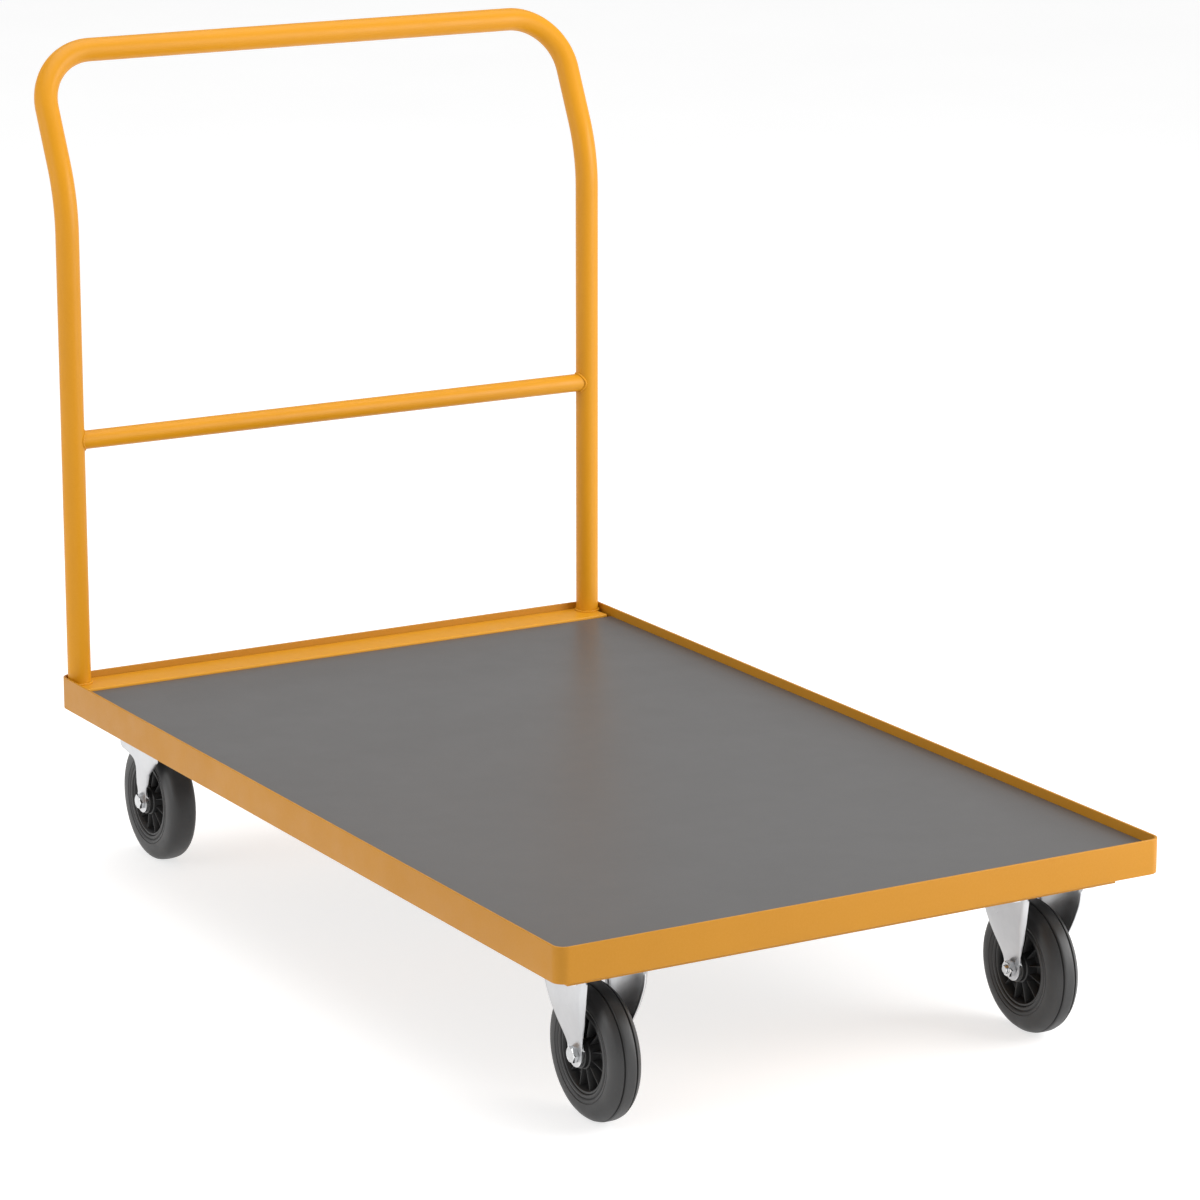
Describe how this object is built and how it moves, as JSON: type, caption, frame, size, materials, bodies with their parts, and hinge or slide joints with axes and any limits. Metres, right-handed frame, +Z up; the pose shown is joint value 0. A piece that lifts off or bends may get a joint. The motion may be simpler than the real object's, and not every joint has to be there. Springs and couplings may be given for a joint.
{
  "type": "platform trolley",
  "caption": "Flatbed push trolley with a rimmed deck, a bent tubular push handle, two fixed casters and two swivel casters.",
  "frame": {"origin": "on the floor under the wheels, at the middle of the trolley's outline in X and Y", "axes": "+X to the right seen from the front, +Y towards the handle end, +Z up"},
  "size_m": [0.8, 1.3802, 1.0584],
  "materials": {
    "frame_paint": "satin yellow-orange powder coat",
    "handle_paint": "satin yellow-orange powder coat",
    "board": "fine-grained grey laminate with a soft sheen",
    "tyre": "black rubber, slightly dusty",
    "wheel_plastic": "black moulded plastic",
    "seal_rubber": "black rubber lip",
    "bearing_steel": "ground bearing steel",
    "zinc_sheet": "bright zinc-plated pressed steel",
    "zinc_fasteners": "bright zinc-plated steel"
  },
  "bodies": {
    "chassis": {"deck_rim": "frame_paint", "deck_board": "board", "front_channel": "frame_paint", "rear_channel": "frame_paint", "middle_crossbar": "frame_paint", "side_ledges": "frame_paint", "deck_screws": "zinc_fasteners", "handle_carrier": "handle_paint", "handle_tube": "handle_paint", "handle_crossbar": "handle_paint", "caster_bolts": "zinc_fasteners", "caster_nuts": "zinc_fasteners", "caster_washers": "zinc_fasteners", "front_left_fork": "zinc_sheet", "front_left_axle_bolt": "zinc_fasteners", "front_left_axle_nut": "zinc_fasteners", "front_left_axle_sleeve": "zinc_fasteners", "front_right_fork": "zinc_sheet", "front_right_axle_bolt": "zinc_fasteners", "front_right_axle_nut": "zinc_fasteners", "front_right_axle_sleeve": "zinc_fasteners", "rear_left_top_plate": "zinc_sheet", "rear_left_kingpin": "zinc_fasteners", "rear_left_dust_seal": "seal_rubber", "rear_right_top_plate": "zinc_sheet", "rear_right_kingpin": "zinc_fasteners", "rear_right_dust_seal": "seal_rubber"},
    "front_left_wheel": {"front_left_wheel_centre": "wheel_plastic", "front_left_tyre": "tyre", "front_left_roller_bearing": "bearing_steel"},
    "front_right_wheel": {"front_right_wheel_centre": "wheel_plastic", "front_right_tyre": "tyre", "front_right_roller_bearing": "bearing_steel"},
    "rear_left_swivel": {"rear_left_balls": "bearing_steel", "rear_left_fork": "zinc_sheet", "rear_left_axle_bolt": "zinc_fasteners", "rear_left_axle_nut": "zinc_fasteners", "rear_left_axle_sleeve": "zinc_fasteners"},
    "rear_left_wheel": {"rear_left_wheel_centre": "wheel_plastic", "rear_left_tyre": "tyre", "rear_left_roller_bearing": "bearing_steel"},
    "rear_right_swivel": {"rear_right_balls": "bearing_steel", "rear_right_fork": "zinc_sheet", "rear_right_axle_bolt": "zinc_fasteners", "rear_right_axle_nut": "zinc_fasteners", "rear_right_axle_sleeve": "zinc_fasteners"},
    "rear_right_wheel": {"rear_right_wheel_centre": "wheel_plastic", "rear_right_tyre": "tyre", "rear_right_roller_bearing": "bearing_steel"}
  },
  "joints": [
    {"name": "front_left_wheel_spin", "type": "hinge", "parent": "chassis", "child": "front_left_wheel", "pos_m": [-0.293, -0.58513, 0.08], "axis": [1, 0, 0], "continuous": true},
    {"name": "front_right_wheel_spin", "type": "hinge", "parent": "chassis", "child": "front_right_wheel", "pos_m": [0.293, -0.58513, 0.08], "axis": [1, 0, 0], "continuous": true},
    {"name": "rear_left_swivel_turn", "type": "hinge", "parent": "chassis", "child": "rear_left_swivel", "pos_m": [-0.293, 0.49787, 0.176], "axis": [0, 0, 1], "continuous": true},
    {"name": "rear_left_wheel_spin", "type": "hinge", "parent": "rear_left_swivel", "child": "rear_left_wheel", "pos_m": [-0.293, 0.54187, 0.08], "axis": [1, 0, 0], "continuous": true},
    {"name": "rear_right_swivel_turn", "type": "hinge", "parent": "chassis", "child": "rear_right_swivel", "pos_m": [0.293, 0.49787, 0.176], "axis": [0, 0, 1], "continuous": true},
    {"name": "rear_right_wheel_spin", "type": "hinge", "parent": "rear_right_swivel", "child": "rear_right_wheel", "pos_m": [0.293, 0.54187, 0.08], "axis": [1, 0, 0], "continuous": true}
  ]
}
